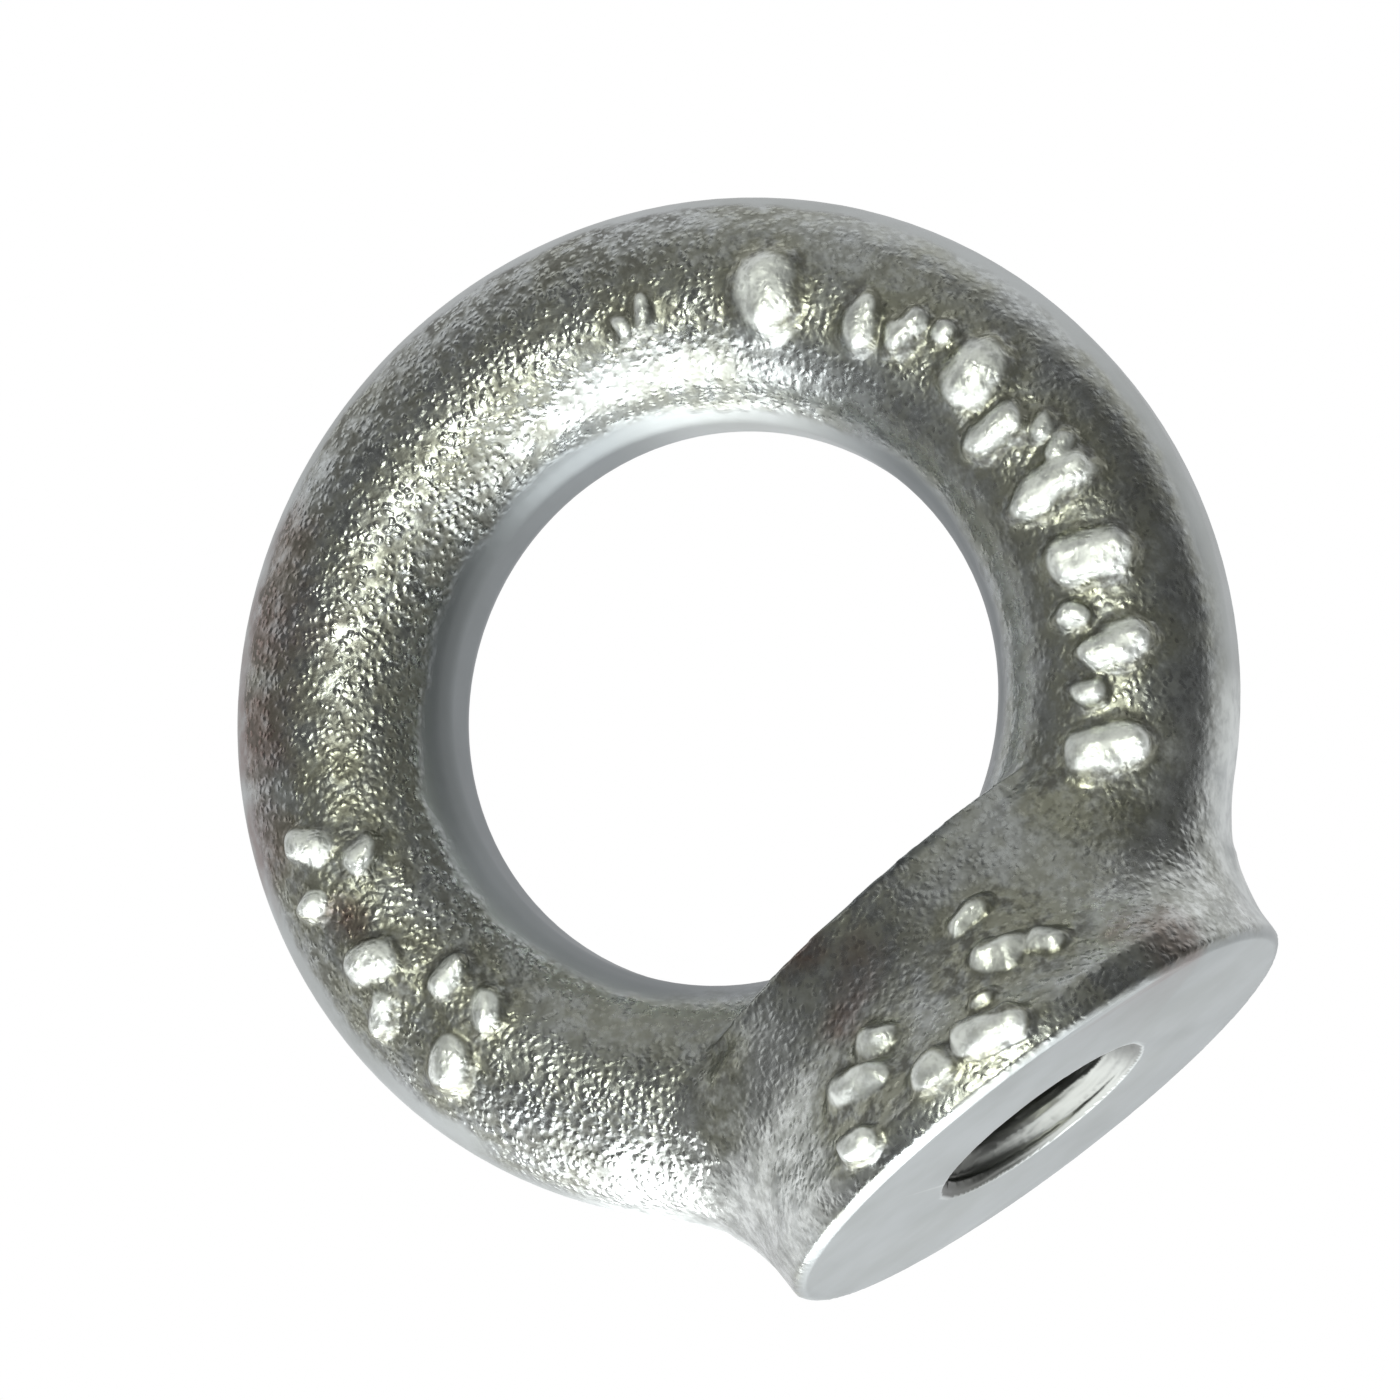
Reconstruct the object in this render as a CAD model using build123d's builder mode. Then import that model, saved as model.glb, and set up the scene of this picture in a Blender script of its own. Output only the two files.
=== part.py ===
"""Lifting eye nut, M8: one drop-forged steel piece, zinc plated.

A round lifting ring grows out of a collar that flares down to a flat,
machined base face. A tapped hole runs up through the collar and opens in a
flat seat in the bottom of the eye.

Millimetres. The origin is the centre of the base face, on the thread axis.
+Z runs up the thread axis to the ring. The ring lies in the XZ plane, and its
marked side faces -Y.
"""

import os
from math import radians, sqrt, tan

from build123d import *

# Ring
ring_outer_diameter = 36.0
eye_diameter = 19.8
ring_depth = 8.4
# Width of the flat bands left round the ring where the forging was trimmed
trim_band = 1.6

# Collar: a round foot, a flare with an oval waist, and a flat seat on top
foot_diameter = 20.4
foot_height = 1.3
foot_edge = 0.25
flare_height = 3.2
flare_width = 20.3
flare_depth = 16.8
waist_height = 6.6
waist_width = 19.6
waist_depth = 12.8
seat_height = 8.75
seat_width = 18.4
seat_depth = 11.6
# The seat of the real nut is trimmed a little out of square
seat_tilt = 3.5
# How far the seat stands above the lowest point of the eye
seat_rise = 0.2
# How near to the seat's plane an edge counts as lying in it
seat_flatness = 0.01

# Blend between the collar and the ring
neck_blend = 0.9

# M8 thread, bored at its minor diameter and countersunk at both ends
bore_diameter = 6.65
countersink_diameter = 8.4
countersink_angle = 90.0

# Worked out from the sizes above
ring_radius = (ring_outer_diameter + eye_diameter) / 4
ring_width = (ring_outer_diameter - eye_diameter) / 2
ring_height = seat_height - seat_rise + eye_diameter / 2
ring_axis = Axis((0, 0, ring_height), (0, 1, 0))
trimmed_share = sqrt(1 - (trim_band / ring_depth) ** 2)
seat_slope = tan(radians(seat_tilt))
seat_plane = Plane(origin=(0, 0, seat_height), z_dir=(-seat_slope, 0, 1))
untrimmed_height = seat_height + seat_slope * seat_width / 2


def on_seat(edge):
    """Whether an edge lies in the plane of the seat."""
    return abs(seat_plane.to_local_coords(edge @ 0.5).Z) < seat_flatness


# The ring: an oval section, trimmed flat outside and inside, turned about the eye
with BuildPart() as ring:
    with BuildSketch(Plane.XY.offset(ring_height)):
        with Locations((ring_radius, 0)):
            Ellipse(ring_width / 2 / trimmed_share, ring_depth / 2)
            Rectangle(ring_width, ring_depth, mode=Mode.INTERSECT)
    revolve(axis=ring_axis)

# The collar: a round foot, then a concave flare up to the oval neck and its seat
with BuildPart() as collar:
    with BuildSketch():
        Circle(foot_diameter / 2)
    extrude(amount=foot_height)
    with BuildSketch(Plane.XY.offset(foot_height)) as foot_top:
        Circle(foot_diameter / 2)
    with BuildSketch(Plane.XY.offset(flare_height)) as flare:
        Ellipse(flare_width / 2, flare_depth / 2)
    with BuildSketch(Plane.XY.offset(waist_height)) as waist:
        Ellipse(waist_width / 2, waist_depth / 2)
    with BuildSketch(Plane.XY.offset(untrimmed_height)) as neck:
        Ellipse(seat_width / 2, seat_depth / 2)
    loft([foot_top.sketch, flare.sketch, waist.sketch, neck.sketch])
    split(bisect_by=seat_plane, keep=Keep.BOTTOM)
    chamfer(collar.edges().filter_by(GeomType.CIRCLE).sort_by(Axis.Z)[0], foot_edge)

# The forging: ring and collar as one body, blended along the valleys between them
with BuildPart() as eye_nut:
    add(collar.part)
    add(ring.part)
    valleys = eye_nut.edges(Select.NEW).filter_by(lambda edge: not on_seat(edge))
    fillet(valleys, neck_blend)

    # The tapped hole, countersunk in the base face and in the seat
    for mouth in (Plane.XY.rotated((180, 0, 0)), Plane.XY.offset(seat_height)):
        with Locations(mouth):
            CounterSinkHole(
                bore_diameter / 2,
                countersink_diameter / 2,
                depth=seat_height,
                counter_sink_angle=countersink_angle,
            )

eye_nut.part.label = "eye_nut"
os.makedirs("parts", exist_ok=True)
export_step(eye_nut.part, "parts/eye_nut.step")
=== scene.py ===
"""Lifting eye nut: the finished look of the forging, its material and its stage.

Blender object space is the part's frame, in metres. Mesh work is done in
millimetres and scaled at the end.
"""

from math import cos, pi, radians, sin

import bmesh
import bpy
import numpy as np
from mathutils import Matrix, Vector, noise


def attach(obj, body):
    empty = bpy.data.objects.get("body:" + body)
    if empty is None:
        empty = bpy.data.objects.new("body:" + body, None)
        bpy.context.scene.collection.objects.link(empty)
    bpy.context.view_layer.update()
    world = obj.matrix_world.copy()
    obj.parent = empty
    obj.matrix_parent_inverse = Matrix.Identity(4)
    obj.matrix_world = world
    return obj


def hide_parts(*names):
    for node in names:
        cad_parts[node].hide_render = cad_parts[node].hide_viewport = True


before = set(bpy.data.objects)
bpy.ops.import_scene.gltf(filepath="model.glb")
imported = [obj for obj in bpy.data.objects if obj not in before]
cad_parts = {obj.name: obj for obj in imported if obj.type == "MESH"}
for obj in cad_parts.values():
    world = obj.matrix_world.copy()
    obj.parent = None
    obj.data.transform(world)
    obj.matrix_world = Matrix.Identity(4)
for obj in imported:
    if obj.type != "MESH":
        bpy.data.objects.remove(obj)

bl_info = {
    "name": "Lifting eye nut",
    "version": (1, 0, 0),
    "blender": (4, 5, 0),
    "location": "3D View > Sidebar > Eye nut",
    "description": "Builds a forged, zinc plated lifting eye nut and its studio stage",
    "category": "Object",
}

MM = 0.001

# Sizes that the finish shares with the part, in millimetres. The collar is given
# by its half width and half depth at four heights.
RING_HEIGHT = 18.45
RING_RADIUS = 13.95
RING_WIDTH = 8.1
BORE_RADIUS = 3.325
SEAT_HEIGHT = 8.75
SEAT_SLOPE = 0.061
COLLAR_HEIGHTS = (1.3, 3.2, 6.6, 8.75)
COLLAR_HALF_WIDTHS = (10.2, 10.15, 9.8, 9.2)
COLLAR_HALF_DEPTHS = (10.2, 8.4, 6.4, 5.8)

# Radius of the ring's section where it is taken as round
RING_SECTION = 4.16

# What belongs to the tapped hole and its countersinks: reach from its axis, and top
HOLE_REACH = 4.45
HOLE_TOP = 9.4

# Share of half a thread pitch that its flat crest takes, and its slope
THREAD_CREST = 0.22
THREAD_SLOPE = 0.64

# How much fuller than a plain round one the run of ring into collar is, and how
# often its points are moved towards their neighbours
NECK_FULLNESS = 1.15
NECK_ROUNDS = 30

# Points nearer than this are one point of the solid
MERGE_DISTANCE = 0.001

# Most triangles that the finished mesh may have
TRIANGLE_LIMIT = 198000

# Random swings, each of a size, seed and share: the forged skin's swells, the
# marks' tops, and the ragged edge between the ring's trimmed bands and its skin
SKIN_SWELLS = ((3.8, 1, 0.5), (1.3, 2, 0.3), (0.6, 3, 0.22))
MARK_SWELLS = ((0.8, 6, 0.25),)
BAND_EDGE = ((1.6, 9, 0.22), (0.5, 10, 0.12))

# How far apart the random values of two seeds lie in the noise
SEED_STRIDE = 17.3

# Round the ring's section, rough skin gives way to a trimmed band where SIDE_SHARE
# times the share of the half width, less DEPTH_SHARE times the depth, comes to
# BAND_START. The front was trimmed further in against TRIM_WAY, an X and a Z.
SIDE_SHARE = 2.6
DEPTH_SHARE = 0.45
BAND_START = (0.95, 1.3)
TRIM_MIDDLE = 0.06
TRIM_LEAN = 0.022
TRIM_WAY = (0.8, -0.6)

# Rough skin beside the ring: the depths from the ring's plane, and the heights, at
# which it starts and is full
COLLAR_SKIN = ((4.3, 5.2), (8.6, 7.8))
FLANK_SKIN = ((1.5, 3.5), (5.0, 3.0))
VALLEY_SKIN = ((0.8, 2.4), (11.8, 9.8))

# Sectors of the ring: the middle's angle, and how many degrees from it each is 0
# and is full
OVER_EYE = (85, 75, 45)
FAR_SHOULDER = (125, 105, 55)
LOW_SHOULDER = (-130, 45, 15)
NEAR_SHOULDER = (62, 50, 15)
ROUND_EYE = (45, 4, 36)

# Raised marks on the ring's front, plain rounded pads: angle from +X towards +Z,
# distance outwards from the middle of the band, turn from the radial direction,
# length, width and share of the full relief. A share of 0 leaves no pad, only the
# darkening round it, which is painted shade.
RING_MARKS = (
    (64.5, -0.9, 30, 1.2, 0.9, 0.7),
    (61.0, -0.5, -10, 1.5, 0.9, 0.6),
    (42.2, 0.0, 10, 3.3, 2.6, 1.1),
    (27.2, -0.2, 8, 2.3, 1.5, 0.9),
    (20.6, 0.3, -24, 2.1, 1.4, 0.9),
    (16.0, 0.9, 0, 1.1, 1.0, 0.8),
    (9.0, 0.35, 6, 3.2, 2.5, 1.1),
    (1.0, -0.4, -4, 2.6, 1.5, 1.2),
    (-2.6, 0.9, 20, 1.4, 1.1, 0.8),
    (-6.2, 1.0, 30, 1.6, 1.2, 0.9),
    (-10.2, 0.1, 4, 3.6, 1.6, 1.2),
    (-21.6, 0.4, -6, 3.4, 2.0, 1.3),
    (-29.2, -0.6, 0, 1.4, 1.2, 1.0),
    (-33.8, 0.8, 22, 2.9, 1.6, 1.2),
    (-40.2, -0.2, 10, 1.6, 1.1, 0.9),
    (-47.4, 0.6, 22, 3.3, 1.8, 1.2),
    (-54.0, 0.3, 0, 3.4, 2.4, 0.0),
    (-122.0, -0.1, -8, 3.0, 0.5, 0.0),
    (161.0, -0.8, 90, 4.6, 1.8, 0.0),
    (165.8, 0.4, 20, 3.9, 3.5, 0.35),
    (162.6, 0.9, -30, 2.2, 1.5, 1.2),
    (166.8, -0.8, 20, 1.7, 1.3, 1.0),
    (169.9, 1.5, 10, 1.5, 1.3, 1.1),
    (-176.5, 0.9, -10, 3.4, 2.7, 0.35),
    (-179.0, 0.8, -16, 2.3, 1.7, 1.2),
    (-173.0, 1.7, 30, 1.8, 1.2, 0.9),
    (-166.0, -0.6, 60, 3.3, 2.2, 0.35),
    (-169.4, -0.9, 10, 1.9, 1.3, 1.1),
    (-161.6, -0.9, 20, 1.7, 1.3, 1.1),
    (-161.8, 1.4, 10, 2.2, 1.8, 1.2),
)

# The same on the collar's front: X, Z, turn from +X towards +Z, length, width, share
COLLAR_MARKS = (
    (3.3, 4.2, 10, 3.8, 3.2, 0.32),
    (3.2, 3.8, -20, 2.3, 1.6, 1.2),
    (3.0, 5.6, 10, 2.0, 1.3, 0.9),
    (4.7, 3.2, -50, 1.9, 1.2, 0.8),
    (1.8, 1.5, -28, 3.1, 1.5, 1.3),
    (2.0, 2.8, 0, 1.1, 0.8, 0.7),
    (-0.5, 1.7, 20, 2.0, 1.6, 1.1),
    (-1.7, 4.1, -40, 1.8, 1.5, 1.1),
    (-2.9, 2.9, -10, 3.2, 2.7, 0.35),
    (-2.9, 3.2, -20, 2.7, 1.7, 1.2),
    (-3.9, 1.4, -20, 1.9, 1.5, 1.2),
)

# Marks stand only on points in front of these Y, and reach no further than this.
# The flare leans, so on it a mark reaches further than its height shows.
RING_FRONT = -2
COLLAR_FRONT = -5
MARK_REACH = 3.6
RING_LEAN = 1
FLARE_LEAN = 1.3

# A mark's edge: the shares of its width between which it falls, how far it strays
# and in swings of which size, and how far past it the grime and painted shade reach
MARK_TOP = 0.08
MARK_FOOT = 0.62
MARK_STRAY = 0.22
STRAY_SIZE = 0.9
GRIME_AND_SHADE_REACH = 1.3

# Brown stains, partly painted shade: those on the outer left shoulder also darken it,
# and those at the seat's left end and low on the collar's right paint shadows there.
# Each: X, Y, Z of the middle, size and strength
STAINS_AND_SHADE = (
    (-8.6, -3.4, 32.3, 2.4, 0.6),
    (-11.0, -3.4, 30.4, 3.3, 0.8),
    (-13.6, -3.4, 27.8, 3.2, 0.85),
    (-16.0, -2.8, 24.5, 2.8, 0.7),
    (-14.6, -3.9, 20.2, 1.3, 0.9),
    (-5.7, 2.8, 0.0, 0.35, 1.0),
    (-0.8, -6.4, 6.8, 1.6, 0.5),
    (-2.3, -6.8, 5.6, 1.3, 0.8),
    (-2.1, -5.8, 8.4, 1.2, 0.9),
    (7.6, -6.2, 1.0, 2.2, 0.6),
)

# Sizes of the finish's texture, in metres
GRIT_SIZE = 0.00011
PEBBLE_SIZE = 0.00027
PEBBLE_PUSH = 0.0003
PUSH_SIZE = 0.0005
RIPPLE_SIZE = 0.00055
SWELL_SIZE = 0.0016
BORE_GROOVE = 0.0003
BORE_START = (0.00005, 0.00015)
FACE_GROOVE = 0.0006
SCRATCH_SIZE = 0.0004
WAVER_SIZE = 0.0025
WAVER_REACH = 0.0004
GRAIN_SIZE = 0.00035
SPECK_SIZE = 0.0009
PATCH_SIZE = 0.0045
CLOUD_SIZE = 0.05

# Heights of the finish's relief, in millimetres
GRIT_RELIEF = 0.006
PEBBLE_RELIEF = 0.040
RIPPLE_RELIEF = 0.03
SWELL_RELIEF = 0.05
BORE_RELIEF = 0.012
FACE_RELIEF = 0.0003
SCRATCH_RELIEF = 0.003

# The floor, in metres: half its side, and how far it lies under the base face, so
# that the two are never in one plane
FLOOR_REACH = 1.5
FLOOR_DROP = 0.00003

# Lamps round a point in the nut: direction and distance from it, width and height
# in metres, brightness and colour
LAMP_AIM = (0, 0, 0.018)
LAMPS = {
    "low_box": ((-0.54, -0.08, -0.84), 0.34, 0.64, 0.56, 3.8, (0.98, 1.0, 1.0)),
    "front_box": ((0.05, -0.988, -0.14), 0.36, 0.19, 0.17, 7.2, (0.98, 1.0, 0.86)),
    "top_box": ((0.50, -0.55, 0.66), 0.40, 0.30, 0.30, 0.45, (1.0, 1.0, 0.96)),
}

# Sides of the room: direction, and the cosines from it at which each starts and is full
ROOM_BACK = ((-0.14, 0.95, 0.29), -0.15, 0.35)
DARK_SIDE = ((0.85, -0.05, -0.48), 0.5, 0.95)
BACKDROP = ((-0.45, 0.66, -0.60), 0.4, 0.85)
DARK_SIDE_LOSS = 0.35

# The camera: sensor and lens in millimetres, place in metres, and the directions of
# the picture's right side, its bottom and its depth
SENSOR_WIDTH = 36.0
LENS_LENGTH = 124.21
NEAREST_SEEN = 0.01
CAMERA_PLACE = (0.022551, -0.160638, -0.029182)
PICTURE_RIGHT = (0.76528, 0.28460, -0.57736)
PICTURE_DOWN = (-0.62893, 0.13962, -0.76482)
PICTURE_DEPTH = (-0.13706, 0.94842, 0.28585)


# Places on the nut


def from_axis(points):
    """How far points lie from the axis of the hole."""
    return np.hypot(points[:, 0], points[:, 1])


def from_eye(points):
    """How far points lie from the middle of the eye, seen from the front."""
    return np.hypot(points[:, 0], points[:, 2] - RING_HEIGHT)


def seat_level(points):
    """The height of the seat's plane at points."""
    return SEAT_HEIGHT + SEAT_SLOPE * points[:, 0]


def eased(value, start, end):
    """0 up to start, 1 from end on and smooth between them. End may be the lower one."""
    share = np.clip((value - start) / (end - start), 0, 1)
    return share * share * (3 - 2 * share)


def in_sector(points, middle, start, end):
    """How far points lie in a sector of the ring. Its middle goes from +X towards +Z."""
    angle = np.degrees(np.arctan2(points[:, 2] - RING_HEIGHT, points[:, 0]))
    gap = np.abs(angle - middle)
    return eased(np.minimum(gap, 360 - gap), start, end)


def in_zone(depth, height, zone):
    """How far points of that depth and height lie in a zone."""
    depths, heights = zone
    return eased(depth, *depths) * eased(height, *heights)


def wander(points, size, seed):
    """Smooth random values from -1 to 1, one swing about every ``size``."""
    places = points / size + seed * SEED_STRIDE
    return np.array([noise.noise(place) for place in places.tolist()])


def wander_all(points, swings):
    """Random values of several sizes, added up by their shares."""
    return sum(wander(points, size, seed) * share for size, seed, share in swings)


# Where each finish lies


def mark_places():
    """Each mark's X, Z, turn from +X, length, width, share, front and lean."""
    places = []
    for angle, out, turn, *form in RING_MARKS:
        c, s, reach = cos(radians(angle)), sin(radians(angle)), RING_RADIUS + out
        middle = c * reach, RING_HEIGHT + s * reach
        places.append((*middle, angle + turn, *form, RING_FRONT, RING_LEAN))
    return places + [(*mark, COLLAR_FRONT, FLARE_LEAN) for mark in COLLAR_MARKS]


def mark_fields(points):
    """Two shares for each point: how far up a raised mark it is, and how near to one."""
    x, y, z = points.T
    height, nearness = np.zeros(len(points)), np.zeros(len(points))
    base_edge = (0.5, 1.0)
    stray_x, stray_z = (wander(points, STRAY_SIZE, seed) * MARK_STRAY for seed in (5, 7))
    for mark_x, mark_z, turn, length, width, share, front, lean in mark_places():
        dx, dz = x - mark_x, (z - mark_z) * lean
        near = (y < front) & (z > base_edge[0]) & (np.hypot(dx, dz) < MARK_REACH)
        dx, dz = dx[near] + stray_x[near], dz[near] + stray_z[near]
        c, s = cos(radians(turn)), sin(radians(turn))
        along, across = dx * c + dz * s, dz * c - dx * s
        beyond = np.maximum(np.abs(along) - (length - width) / 2, 0)
        away = np.hypot(beyond, across)
        up = share * (1 - eased(away, width * MARK_TOP, width * MARK_FOOT))
        # Marks that touch run into each other
        height[near] = np.hypot(height[near] ** 2, up**2) ** 0.5
        edge = width * 0.5
        nearness[near] = np.maximum(nearness[near], 1 - eased(away, edge, edge + GRIME_AND_SHADE_REACH))
    # Less grime and painted shade on the inner shoulder beside the marks
    inward = RING_RADIUS - from_eye(points)
    inner_shoulder = eased(inward, 0.6, 1.8) * eased(x, 2, 6) * eased(z - RING_HEIGHT, 0, 3)
    above_base = eased(z, *base_edge)
    return height * above_base, nearness * above_base * (1 - inner_shoulder * 0.85)


def skin_amount(points):
    """Where the forged skin is rough: 1 there, 0 on trimmed and machined metal."""
    x, y, z = points.T
    depth = np.abs(y)
    side = np.abs(from_eye(points) - RING_RADIUS) / (RING_WIDTH / 2)
    # The front was trimmed further in towards -X than towards +X
    further = TRIM_MIDDLE - TRIM_LEAN * (TRIM_WAY[0] * x + TRIM_WAY[1] * (z - RING_HEIGHT))
    # Over the top of the eye the rough skin reaches nearer to its edge
    over = in_sector(points, *OVER_EYE) * eased(RING_RADIUS - from_eye(points), 0, 2)
    further = (further - over * 0.45) * (y < 0)
    towards_band = side * SIDE_SHARE - depth * DEPTH_SHARE
    ring = 1 - eased(towards_band + wander_all(points, BAND_EDGE) + further, *BAND_START)
    # Rough as well: the collar's front and back, its flanks and the front valleys
    collar, flank = in_zone(depth, z, COLLAR_SKIN), in_zone(depth, z, FLANK_SKIN)
    valley = in_zone(-y, z, VALLEY_SKIN)
    skin = np.maximum(np.maximum(ring, collar), np.maximum(flank, valley))
    # Smooth: the seat, the hole and the foot's lowest edge
    share = np.hypot(x / COLLAR_HALF_WIDTHS[-1], y / COLLAR_HALF_DEPTHS[-1])
    on_seat = eased(np.abs(z - seat_level(points)), 0.4, 0.2) * eased(share, 1.0, 0.94)
    hole = eased(from_axis(points), 5.0, 4.5) * eased(z, 9.8, 9.4)
    return skin * (1 - np.maximum(on_seat, hole)) * eased(z, 0.0, 0.25)


def pebble_amount(points):
    """How coarse the forged skin is: 1 on the ring's far shoulder, less elsewhere."""
    y, z = points[:, 1], points[:, 2]
    side = (from_eye(points) - RING_RADIUS) / (RING_WIDTH / 2)
    shoulder = in_sector(points, *FAR_SHOULDER)
    low = in_sector(points, *LOW_SHOULDER) * eased(side, -0.35, 0.1)
    crown = eased(np.abs(side - 0.1), 0.75, 0.25) * 0.55
    amount = np.maximum(np.maximum(shoulder, low), crown)
    # Finer on the inner shoulder at the upper right
    amount *= 1 - eased(-side, 0.1, 0.5) * in_sector(points, *NEAR_SHOULDER) * 0.6
    neck_top, neck_depth, flare_top = 9.5, 4.3, 5
    collar = (z < neck_top) & (np.abs(y) > neck_depth) | (z < flare_top)
    return np.where(collar, 0.4, 0.2 + 0.8 * amount)


def bore_amount(points):
    """1 on the wall of the tapped hole and its countersinks, 0 elsewhere."""
    z = points[:, 2]
    return ((from_axis(points) < HOLE_REACH) & (z > 0.02) & (z < HOLE_TOP)).astype(float)


def pale_amount(points):
    """Painted sheen: the collar lighter towards its sides, under the neck, more towards -X."""
    x, z = points[:, 0], points[:, 2]
    ragged = wander(points, 1.4, 13) * 1.2
    sides = np.maximum(eased(ragged - x, 3.0, 6.0), eased(ragged + x, 6.5, 9.0) * 0.7)
    return sides * eased(z, 8.4, 6.8) * eased(z, 0.2, 0.5)


def shade_and_base_tone_amount(points):
    """Painted shade in the eye but for its upper right, and a darker mottled tone on the base."""
    z = points[:, 2]
    inner = eased(RING_RADIUS - from_eye(points), 3.0, 3.7) * (z > 8.6)
    base = eased(z, 0.25, 0.05) * (from_axis(points) > 4.3)
    mottled = 0.46 + wander(points, 2.6, 14) * 0.16
    return np.maximum(inner * in_sector(points, *ROUND_EYE), base * mottled)


def stain_and_shade_amount(points):
    """How brown the plating is: stains, partly painted shade, that fade out from their middles."""
    amount = np.zeros(len(points))
    ragged = 1 + wander(points, 1.1, 12) * 0.5
    for x, y, z, size, strength in STAINS_AND_SHADE:
        away = np.linalg.norm(points - (x, y, z), axis=1) / size * ragged
        amount = np.maximum(amount, strength * (1 - eased(away, 0.2, 1)))
    return amount


def finish_layers(points):
    """The values that the zinc plate's material reads at each point, by name."""
    mark, halo = mark_fields(points)
    return {
        "skin": skin_amount(points),
        "pebble": pebble_amount(points),
        "stain": stain_and_shade_amount(points),
        "bore": bore_amount(points),
        "pale": pale_amount(points),
        "dull": shade_and_base_tone_amount(points),
        "mark": mark,
        "halo": halo,
    }


# Mesh work


def vertices(mesh):
    """A mesh's vertices as an array of rows x, y, z."""
    flat = np.empty(len(mesh.vertices) * 3)
    mesh.vertices.foreach_get("co", flat)
    return flat.reshape(-1, 3)


def normals(mesh):
    """A mesh's vertex normals as an array of rows."""
    flat = np.empty(len(mesh.vertices) * 3)
    mesh.vertex_normals.foreach_get("vector", flat)
    return flat.reshape(-1, 3)


def reshaped(mesh, *changes):
    """The mesh after modifiers, each given as its type and its settings."""
    carrier = bpy.data.objects.new("carrier", mesh)
    bpy.context.scene.collection.objects.link(carrier)
    for kind, settings in changes:
        modifier = carrier.modifiers.new(kind, kind)
        for name, value in settings.items():
            setattr(modifier, name, value)
    graph = bpy.context.evaluated_depsgraph_get()
    result = bpy.data.meshes.new_from_object(carrier.evaluated_get(graph))
    bpy.data.objects.remove(carrier)
    return result


def relaxed(mesh, points, weight, rounds):
    """The points after each has moved towards its neighbours, by its weight."""
    flat = np.empty(len(mesh.edges) * 2, dtype=np.int32)
    mesh.edges.foreach_get("vertices", flat)
    ends = flat.reshape(-1, 2)
    ends = ends[(weight[ends] > 0).any(axis=1)]
    start, end = np.concatenate((ends, ends[:, ::-1])).T
    count = np.maximum(np.bincount(start, minlength=len(points)), 1)
    for _ in range(rounds):
        for axis in range(3):
            total = np.bincount(start, points[end, axis], len(points))
            points[:, axis] += (total / count - points[:, axis]) * weight
    return points


def solid_surface():
    """The part's own surface in millimetres, as one closed mesh."""
    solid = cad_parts["eye_nut"].data.copy()
    solid.transform(Matrix.Scale(1 / MM, 4))
    shell = bmesh.new()
    shell.from_mesh(solid)
    bmesh.ops.remove_doubles(shell, verts=shell.verts, dist=MERGE_DISTANCE)
    shell.to_mesh(solid)
    shell.free()
    solid.materials.clear()
    return solid


def neck_fill(points, reach):
    """How far each point is lifted to run ring and collar together, and its nearness."""
    x, y, z = points.T
    half_width = np.polyval(np.polyfit(COLLAR_HEIGHTS, COLLAR_HALF_WIDTHS, 3), z)
    half_depth = np.polyval(np.polyfit(COLLAR_HEIGHTS, COLLAR_HALF_DEPTHS, 3), z)
    from_ring = np.hypot(from_eye(points) - RING_RADIUS, y) - RING_SECTION
    share = np.hypot(x / half_width, y / half_depth)
    from_collar = from_axis(points) * (1 - 1 / np.maximum(share, 0.1))
    nearest = np.minimum(from_ring, from_collar)
    gap = np.maximum(reach - np.abs(from_ring - from_collar), 0)
    lift = np.maximum(gap**2 / (4 * reach) - np.maximum(nearest, 0), 0) * NECK_FULLNESS
    # Only outside the hole, under the seat and above the foot
    seat = seat_level(points)
    valley = (nearest > -0.5) & (from_axis(points) > 5.5) & (z < seat)
    valley = valley * eased(seat - z, 0.2, 1.5) * eased(z, 0.8, 1.8)
    return lift * valley, eased(gap, 0, reach * 0.5) * valley


def thread_radius(points, pitch, depth):
    """The radius of the right-hand thread's surface beside each point."""
    x, y, z = points.T
    phase = z / pitch - np.arctan2(y, x) / (2 * pi)
    swing = np.abs(2 * (phase % 1) - 1)
    return BORE_RADIUS + depth * np.clip((swing - THREAD_CREST) / THREAD_SLOPE, 0, 1)


def forging_mesh(sizes):
    """The nut's surface in millimetres: forged skin, raised marks and thread."""
    even = reshaped(
        solid_surface(),
        ("REMESH", {"mode": "VOXEL", "voxel_size": sizes.grain_step / MM}),
        ("SMOOTH", {"factor": 0.5, "iterations": 3}),
    )
    points, out = vertices(even), normals(even)
    from_hole_axis = from_axis(points)
    in_hole = (from_hole_axis < HOLE_REACH) & (points[:, 2] < HOLE_TOP)
    lift, valley = neck_fill(points, sizes.neck_reach / MM)
    points = relaxed(even, points + out * lift[:, None], valley * 0.5, NECK_ROUNDS)

    # Forged skin, swollen a little here and there, and the raised marks
    marks = mark_fields(points)[0] * sizes.mark_relief / MM
    lumps = wander_all(points, SKIN_SWELLS)
    rise = sizes.skin_relief / MM * lumps * skin_amount(points)
    rise += marks * (1 + wander_all(points, MARK_SWELLS))
    points += out * rise[:, None]

    # The thread, cut outwards into the wall of the bore
    wanted = thread_radius(points, sizes.thread_pitch / MM, sizes.thread_depth / MM)
    growth = np.maximum(wanted, from_hole_axis) / np.maximum(from_hole_axis, 1)
    points[:, :2] *= np.where(in_hole, growth, 1)[:, None]

    even.vertices.foreach_set("co", points.ravel())
    even.update()
    # Each of the even mesh's squares counts as two triangles
    share = min(1.0, TRIANGLE_LIMIT / (2 * len(even.polygons)))
    return reshaped(even, ("DECIMATE", {"ratio": share}))


# Materials


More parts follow.
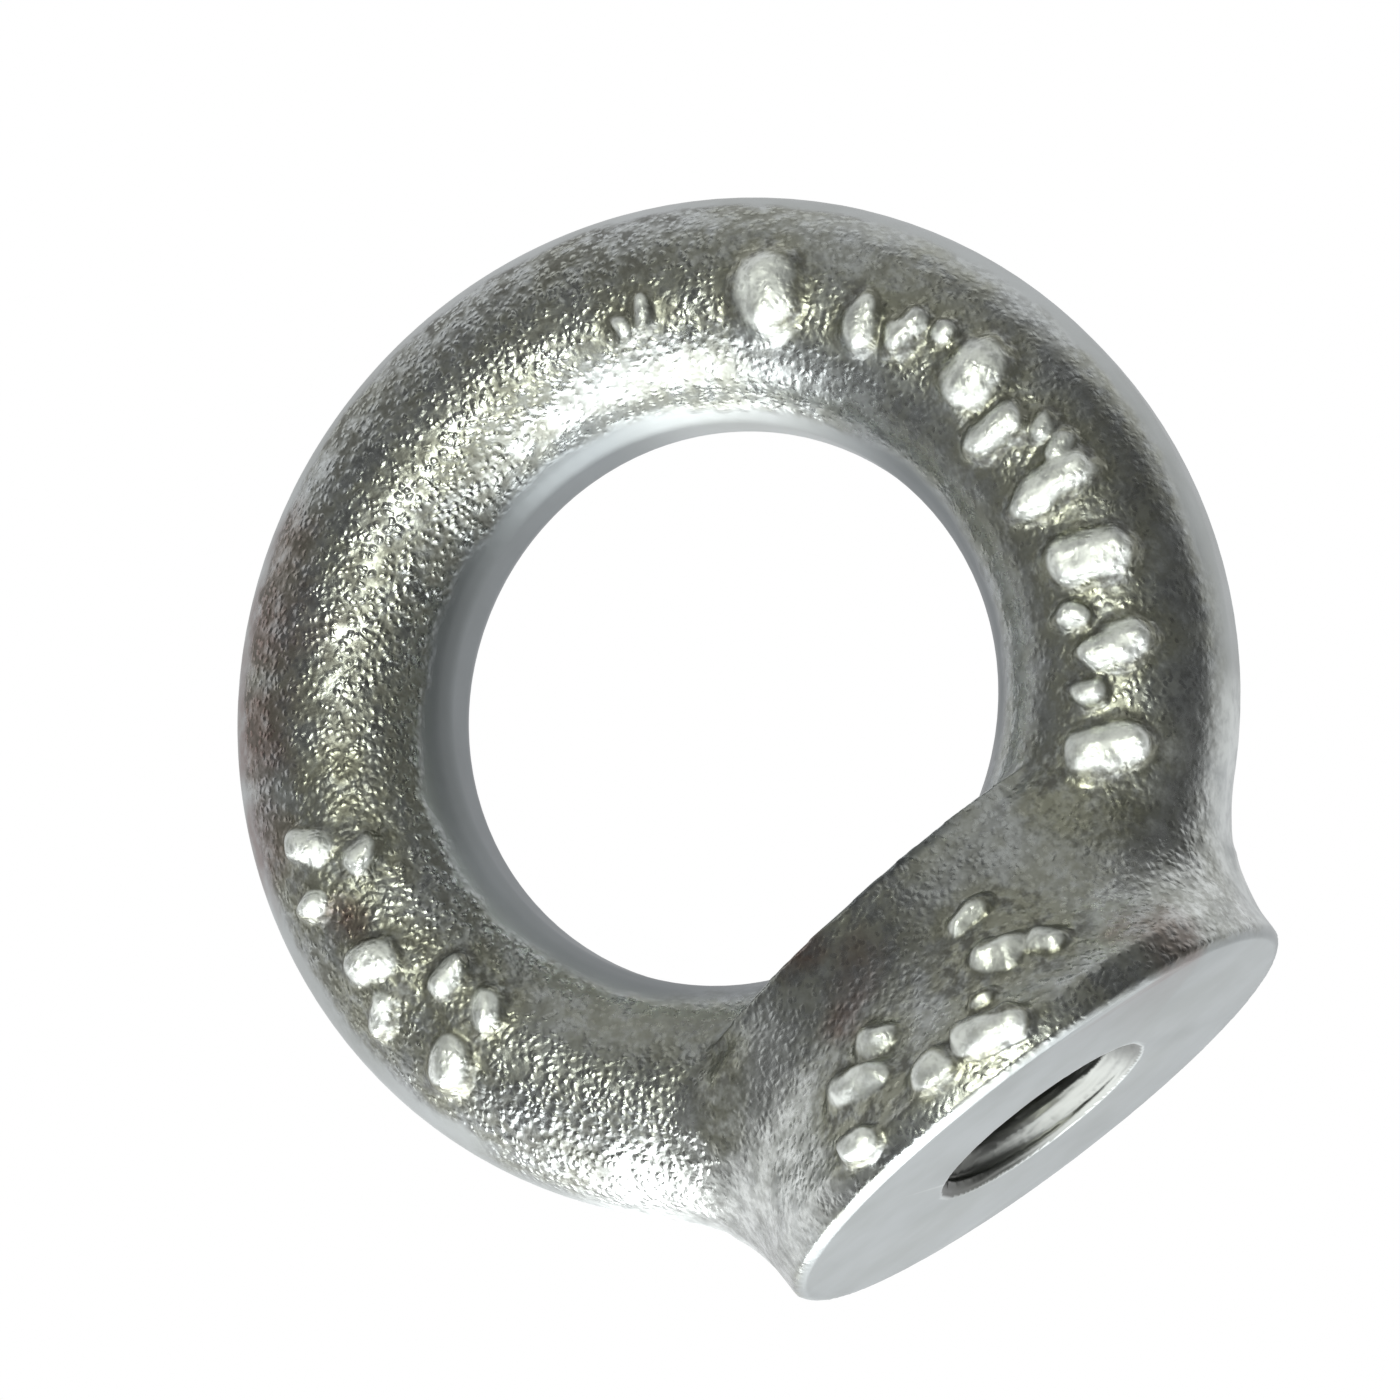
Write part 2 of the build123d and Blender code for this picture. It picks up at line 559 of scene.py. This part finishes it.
class Signal:
    """A shader socket that takes arithmetic: an expression adds its Math nodes."""

    def __init__(self, graph, socket):
        self.graph, self.socket = graph, socket

    def math(self, operation, *values):
        node = self.graph.node("ShaderNodeMath", {"operation": operation}, dict(enumerate(values)))
        return node("Value")

    def __add__(self, other):
        return self.math("ADD", self, other)

    def __radd__(self, other):
        return self.math("ADD", other, self)

    def __sub__(self, other):
        return self.math("SUBTRACT", self, other)

    def __rsub__(self, other):
        return self.math("SUBTRACT", other, self)

    def __mul__(self, other):
        return self.math("MULTIPLY", self, other)

    def __rmul__(self, other):
        return self.math("MULTIPLY", other, self)

    def most(self, other):
        return self.math("MAXIMUM", self, other)

    def waves(self, length):
        """A swing from -1 to 1 and back once in every ``length``."""
        return self.math("SINE", self * (2 * pi / length))

    def eased(self, start, end):
        """0 up to start, 1 from end on and smooth between them. End may be the lower one."""
        settings = {"interpolation_type": "SMOOTHSTEP"}
        sockets = {"Value": self, "From Min": start, "From Max": end}
        return self.graph.node("ShaderNodeMapRange", settings, sockets)("Result")


class Graph:
    """A node tree that is built up from nodes and the signals between them."""

    def __init__(self, tree):
        self.tree = tree
        tree.nodes.clear()

    def node(self, kind, settings=None, sockets=None):
        """Adds a node and returns a function from output name to signal.

        Sockets that share their name with others of the node go by number.
        """
        made = self.tree.nodes.new(kind)
        for name, value in (settings or {}).items():
            setattr(made, name, value)
        for name, value in (sockets or {}).items():
            socket = made.inputs[name]
            if isinstance(value, Signal):
                self.tree.links.new(value.socket, socket)
            else:
                socket.default_value = value
        return lambda output: Signal(self, made.outputs[output])

    def blend(self, factor, low, high):
        """The colour low where factor is 0 and high where it is 1."""
        sockets = {"Factor": factor, 6: low, 7: high}
        return self.node("ShaderNodeMix", {"data_type": "RGBA"}, sockets)(2)

    def noise(self, place, size, detail=2.0, rough=0.5, output="Fac"):
        """Cloudy noise from 0 to 1 with swings about ``size`` metres across."""
        sockets = {"Vector": place, "Scale": 1 / size, "Detail": detail, "Roughness": rough}
        return self.node("ShaderNodeTexNoise", None, sockets)(output)

    def attribute(self, name):
        return self.node("ShaderNodeAttribute", {"attribute_name": name})("Fac")


def forged_relief(g, place, coarse):
    """The forged skin's height in millimetres, and how high up a pebble each spot is."""
    # Small rounded cells, pushed about so that no two match
    push = g.noise(place, PUSH_SIZE, 2.0, output="Color")
    pushed = g.node(
        "ShaderNodeVectorMath",
        {"operation": "MULTIPLY_ADD"},
        {0: push, 1: (PEBBLE_PUSH, PEBBLE_PUSH, PEBBLE_PUSH), 2: place},
    )("Vector")
    cell = g.node(
        "ShaderNodeTexVoronoi",
        {"feature": "SMOOTH_F1"},
        {"Vector": pushed, "Scale": 1 / PEBBLE_SIZE, "Smoothness": 0.2},
    )("Distance")
    pebble = 1 - cell.eased(0.0, 0.75)
    ripple = g.noise(pushed, RIPPLE_SIZE, 2.0, 0.5)
    grit = g.noise(place, GRIT_SIZE, 2.0, 0.6)
    swell = g.noise(place, SWELL_SIZE, 2.0, 0.5)
    height = (pebble * PEBBLE_RELIEF + ripple * RIPPLE_RELIEF) * coarse
    return height + swell * SWELL_RELIEF + grit * GRIT_RELIEF, pebble


def machined_relief(g, place):
    """The height of machined metal in millimetres: grooves in the bore, rings elsewhere."""
    height_above_base = g.node("ShaderNodeSeparateXYZ", None, {0: place})("Z")
    outwards = g.node("ShaderNodeVectorMath", {"operation": "LENGTH"}, {0: place})("Value")
    waver = g.noise(place, WAVER_SIZE, 3.0, 0.6) * WAVER_REACH
    in_bore = height_above_base.eased(*BORE_START) * g.attribute("bore")
    groove = (height_above_base + waver).waves(BORE_GROOVE)
    ring_mark = (outwards + waver).waves(FACE_GROOVE)
    scratches = g.noise(place, SCRATCH_SIZE, 4.0, 0.6) * SCRATCH_RELIEF
    return scratches + groove * in_bore * BORE_RELIEF + ring_mark * (1 - in_bore) * FACE_RELIEF


def plating(g, place, colours, skin, coarse, pebble, mark):
    """The plate's colour with painted shade, sheen and highlight, how dark it is in hollows and
    round the marks, and how far its marks are worn.
    """
    patch = g.noise(place, PATCH_SIZE, 3.0, 0.6)
    speck = g.noise(place, SPECK_SIZE, 3.0, 0.65)
    grain = g.noise(place, GRAIN_SIZE, 2.0, 0.6)
    sheen = g.attribute("pale")
    halo = g.attribute("halo") * (1 - mark.eased(0.3, 0.8) * 0.7)
    # Round the marks the olive tint is grime and painted shade
    tint = (patch.eased(0.35, 0.6) * 0.55 * (1 - sheen * 0.7)).most(halo)
    stain = g.attribute("stain") * (speck.eased(0.25, 0.6) * 0.6 + 0.4)
    # Darker between the pebbles, and round the marks grime and painted shade
    darkening = (1 - pebble).eased(0.35, 0.8) * speck.eased(0.35, 0.65) * skin * coarse
    darkening = darkening * (1 - sheen * 0.6)
    darkening = darkening.most(halo * (1 - (speck * 0.6 + grain * 0.4).eased(0.38, 0.6)))
    wear_and_sheen = mark.eased(0.3, 0.7) * (speck.eased(0.35, 0.6) * 0.45 + 0.45)
    # From the plate outwards: where each colour lies, how strongly it shows there, its name
    layers = (
        (patch.eased(0.3, 0.7), 1.0, "shade"),
        # Painted sheen, lighter towards the collar's sides
        (sheen * speck.eased(0.75, 0.35), 0.85, "wear_and_sheen"),
        (grain.eased(0.6, 0.35) * skin, 0.3, "dirt_and_shade"),
        (speck.eased(0.3, 0.6) * tint * skin, 0.8, "olive"),
        # Painted shade in the eye, and the base's darker tone
        (g.attribute("dull"), 0.7, "dull"),
        # Brown stains, partly painted shade and shadow
        (stain, 0.9, "brown"),
        # Darker between the pebbles, grime and painted shade round the marks
        (darkening, 0.75, "dirt_and_shade"),
        # Lighter, less metallic mark tops: partly real wear, partly a painted highlight
        (wear_and_sheen, 1.0, "wear_and_sheen"),
        # Painted shade: the wall of the tapped hole is darkened
        (g.attribute("bore"), 0.68, "dirt_and_shade"),
    )
    plate = colours["plate"]
    for amount, strength, name in layers:
        plate = g.blend(amount * strength, plate, colours[name])
    return plate, darkening, wear_and_sheen


def zinc_finish(colours):
    """Worn zinc plate over forged steel, smooth where the metal was machined."""
    material = bpy.data.materials.new("zinc_plate")
    material.use_nodes = True
    g = Graph(material.node_tree)
    place = g.node("ShaderNodeTexCoord")("Object")
    skin, coarse, mark = (g.attribute(name) for name in ("skin", "pebble", "mark"))
    rough_height, pebble = forged_relief(g, place, coarse)
    height = rough_height * skin + machined_relief(g, place) * (1 - skin)
    normal = g.node(
        "ShaderNodeBump", None, {"Strength": 1.0, "Distance": MM, "Height": height}
    )("Normal")
    plate, darkening, wear_and_sheen = plating(g, place, colours, skin, coarse, pebble, mark)
    surface = g.node(
        "ShaderNodeBsdfPrincipled",
        None,
        {
            "Base Color": plate,
            "Metallic": 1 - darkening * 0.3 - wear_and_sheen * 0.4,
            "Roughness": 0.42 - skin * 0.16 + darkening * 0.22 + mark * 0.12,
            "Specular Tint": (0.75, 0.75, 0.77, 1.0),
            "Normal": normal,
        },
    )("BSDF")
    g.node("ShaderNodeOutputMaterial", None, {"Surface": surface})
    return material


def floor_finish(colour):
    """A pale floor that the camera sees only from above."""
    material = bpy.data.materials.new("floor")
    material.use_nodes = True
    g = Graph(material.node_tree)
    seen = g.node("ShaderNodeLightPath")("Is Camera Ray")
    behind = g.node("ShaderNodeNewGeometry")("Backfacing")
    cloud = g.noise(g.node("ShaderNodeTexCoord")("Object"), CLOUD_SIZE, 3.0)
    paint = g.blend(cloud, colour, tuple(c * 0.985 for c in colour[:3]) + (1.0,))
    matt = g.node(
        "ShaderNodeBsdfPrincipled",
        None,
        {"Base Color": paint, "Roughness": 0.9, "Specular IOR Level": 0.0},
    )("BSDF")
    clear = g.node("ShaderNodeBsdfTransparent")("BSDF")
    shown = {0: seen * (1 - behind), 1: clear, 2: matt}
    mixed = g.node("ShaderNodeMixShader", None, shown)("Shader")
    g.node("ShaderNodeOutputMaterial", None, {"Surface": mixed})
    return material


# Settings


class EyeNutSizes(bpy.types.PropertyGroup):
    """Sizes of the forging's fine shapes."""

    grain_step: bpy.props.FloatProperty(
        name="Mesh step",
        description="Distance between the points of the surface mesh",
        default=0.00012,
        precision=6,
        unit="LENGTH",
    )
    skin_relief: bpy.props.FloatProperty(
        name="Skin relief",
        description="How far the forged skin swells and sinks",
        default=0.00006,
        precision=6,
        unit="LENGTH",
    )
    mark_relief: bpy.props.FloatProperty(
        name="Mark relief",
        description="How far the raised marks stand out of the skin",
        default=0.00056,
        precision=6,
        unit="LENGTH",
    )
    neck_reach: bpy.props.FloatProperty(
        name="Neck reach",
        description="How far from their valley ring and collar start to run together",
        default=0.0026,
        precision=6,
        unit="LENGTH",
    )
    thread_pitch: bpy.props.FloatProperty(
        name="Thread pitch",
        description="Rise of the thread in one turn",
        default=0.00125,
        precision=6,
        unit="LENGTH",
    )
    thread_depth: bpy.props.FloatProperty(
        name="Thread depth",
        description="Depth of the thread from its minor diameter",
        default=0.00065,
        precision=6,
        unit="LENGTH",
    )


def colour_property(name, description, default):
    """A colour that a user of the panel can change."""
    return bpy.props.FloatVectorProperty(
        name=name, description=description, default=default, size=4, subtype="COLOR", min=0, max=1
    )


class EyeNutColours(bpy.types.PropertyGroup):
    """Colours of the zinc plate, in linear light."""

    plate: colour_property("Plate", "Clear zinc plate", (0.51, 0.535, 0.535, 1.0))
    shade: colour_property("Shade", "Duller zinc plate", (0.43, 0.45, 0.44, 1.0))
    olive: colour_property("Olive", "Olive tint in the plating", (0.385, 0.39, 0.30, 1.0))
    # Brown also paints shade and shadow where some of the stains lie
    brown: colour_property("Brown", "Brownish stain", (0.20, 0.125, 0.11, 1.0))
    # Painted shade inside the eye, and the base's darker tone
    dull: colour_property("Dull", "Bluish plate inside the eye", (0.13, 0.145, 0.155, 1.0))
    # Dirt, and also painted shade in the tapped hole and round the marks
    dirt_and_shade: colour_property("Dirt", "Dirt held in the valleys", (0.07, 0.067, 0.055, 1.0))
    # Also the painted highlight on the marks' tops and the painted sheen on the collar's sides
    wear_and_sheen: colour_property("Worn", "Bright tops of the raised marks", (0.84, 0.87, 0.85, 1.0))


class EyeNutStage(bpy.types.PropertyGroup):
    """The studio round the nut."""

    floor: colour_property("Floor", "Colour of the floor", (0.92, 0.92, 0.92, 1.0))
    front_level: bpy.props.FloatProperty(
        name="Front level",
        description="Brightness of the room in front of the nut, where 1 is white",
        default=0.14,
    )
    back_level: bpy.props.FloatProperty(
        name="Back level",
        description="Brightness of the room behind the nut, where 1 is white",
        default=1.0,
    )


# The forging


class EYENUT_OT_forging(bpy.types.Operator):
    """Build the forging with its skin, marks, thread and zinc plate"""

    bl_idname = "eye_nut.forging"
    bl_label = "Build forging"

    def execute(self, context):
        mesh = forging_mesh(context.scene.eye_nut_sizes)
        for name, values in finish_layers(vertices(mesh)).items():
            layer = mesh.attributes.new(name, "FLOAT", "POINT")
            layer.data.foreach_set("value", values)
        mesh.transform(Matrix.Scale(MM, 4))
        mesh.name = "forging"
        mesh.shade_smooth()
        chosen = context.scene.eye_nut_colours
        colours = {name: tuple(getattr(chosen, name)) for name in chosen.__annotations__}
        mesh.materials.clear()
        mesh.materials.append(zinc_finish(colours))
        forging = bpy.data.objects.new("forging", mesh)
        context.scene.collection.objects.link(forging)
        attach(forging, "root")
        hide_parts("eye_nut")
        return {"FINISHED"}


# The stage


def lay_floor(scene, colour):
    """A wide floor just under the base face, which isn't part of the object."""
    plane = bpy.data.meshes.new("floor")
    corners = ((-1, -1), (1, -1), (1, 1), (-1, 1))
    places = [(x * FLOOR_REACH, y * FLOOR_REACH, -FLOOR_DROP) for x, y in corners]
    plane.from_pydata(places, [], [(0, 1, 2, 3)])
    plane.materials.append(floor_finish(colour))
    floor = bpy.data.objects.new("floor", plane)
    scene.collection.objects.link(floor)


def hang_lamp(scene, name, direction, far, width, height, radiance, colour):
    """A rectangular lamp that faces the nut, of that brightness for its area."""
    lamp = bpy.data.lights.new(name, "AREA")
    lamp.shape = "RECTANGLE"
    lamp.size, lamp.size_y = width, height
    lamp.energy = radiance * pi * width * height
    lamp.color = colour
    box = bpy.data.objects.new(name, lamp)
    aim = Vector(LAMP_AIM)
    box.location = aim + Vector(direction).normalized() * far
    box.rotation_euler = (aim - box.location).to_track_quat("-Z", "Y").to_euler()
    scene.collection.objects.link(box)


def build_room(scene, front_level, back_level):
    """A world that is dim in front and dark on one side, with a white backdrop."""
    world = bpy.data.worlds.new("studio")
    world.use_nodes = True
    scene.world = world
    g = Graph(world.node_tree)
    way = g.node("ShaderNodeTexCoord")("Generated")

    def facing(direction, start, end):
        """How far the world is seen in a direction: 0 to 1 between two cosines."""
        sockets = {0: way, 1: Vector(direction).normalized()}
        node = g.node("ShaderNodeVectorMath", {"operation": "DOT_PRODUCT"}, sockets)
        return node("Value").eased(start, end)

    room = front_level + facing(*ROOM_BACK) * (back_level - front_level)
    room = room * (1 - facing(*DARK_SIDE) * DARK_SIDE_LOSS)
    backdrop = facing(*BACKDROP)
    rays = g.node("ShaderNodeLightPath")
    # Metal and glass mirror the backdrop white, whatever level the room has
    seen = rays("Is Glossy Ray").most(rays("Is Transmission Ray")) * backdrop
    strength = room.most(backdrop * back_level).most(seen)
    # The camera sees plain white
    strength = strength.most(rays("Is Camera Ray"))
    glow = g.node(
        "ShaderNodeBackground", None, {"Color": (1, 1, 1, 1), "Strength": strength}
    )("Background")
    g.node("ShaderNodeOutputWorld", None, {"Surface": glow})


def set_camera(scene):
    """The camera, at the photograph's viewing angle."""
    lens = bpy.data.cameras.new("camera")
    lens.sensor_width = SENSOR_WIDTH
    lens.lens = LENS_LENGTH
    lens.clip_start = NEAREST_SEEN
    camera = bpy.data.objects.new("camera", lens)
    right, down, depth = Vector(PICTURE_RIGHT), Vector(PICTURE_DOWN), Vector(PICTURE_DEPTH)
    turn = Matrix((right, -down, -depth)).transposed().to_4x4()
    camera.matrix_world = Matrix.Translation(CAMERA_PLACE) @ turn
    scene.collection.objects.link(camera)
    scene.camera = camera


class EYENUT_OT_stage(bpy.types.Operator):
    """Set the floor, the lamps, the backdrop and the camera"""

    bl_idname = "eye_nut.stage"
    bl_label = "Set stage"

    def execute(self, context):
        scene = context.scene
        settings = scene.eye_nut_stage
        lay_floor(scene, tuple(settings.floor))
        for name, lamp in LAMPS.items():
            hang_lamp(scene, name, *lamp)
        build_room(scene, settings.front_level, settings.back_level)
        set_camera(scene)
        scene.view_settings.view_transform = "Standard"
        return {"FINISHED"}


# The panel, and the add-on's start and end


class EYENUT_PT_build(bpy.types.Panel):
    """Settings and steps of the eye nut"""

    bl_idname = "EYENUT_PT_build"
    bl_label = "Eye nut"
    bl_space_type = "VIEW_3D"
    bl_region_type = "UI"
    bl_category = "Eye nut"

    def draw(self, context):
        scene, layout = context.scene, self.layout
        for group in (scene.eye_nut_sizes, scene.eye_nut_colours, scene.eye_nut_stage):
            column = layout.column(align=True)
            for name in group.__annotations__:
                column.prop(group, name)
        layout.operator(EYENUT_OT_forging.bl_idname)
        layout.operator(EYENUT_OT_stage.bl_idname)


CLASSES = (
    EyeNutSizes,
    EyeNutColours,
    EyeNutStage,
    EYENUT_OT_forging,
    EYENUT_OT_stage,
    EYENUT_PT_build,
)

GROUPS = {
    "eye_nut_sizes": EyeNutSizes,
    "eye_nut_colours": EyeNutColours,
    "eye_nut_stage": EyeNutStage,
}


def register():
    """Add the nut's settings, operators and panel to Blender."""
    for each in CLASSES:
        bpy.utils.register_class(each)
    for name, group in GROUPS.items():
        setattr(bpy.types.Scene, name, bpy.props.PointerProperty(type=group))


def unregister():
    """Take them out again."""
    for name in GROUPS:
        delattr(bpy.types.Scene, name)
    for each in reversed(CLASSES):
        bpy.utils.unregister_class(each)


def main():
    """Build the nut on its stage."""
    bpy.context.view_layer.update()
    register()
    bpy.ops.eye_nut.forging()
    bpy.ops.eye_nut.stage()


if __name__ == "__main__":
    main()
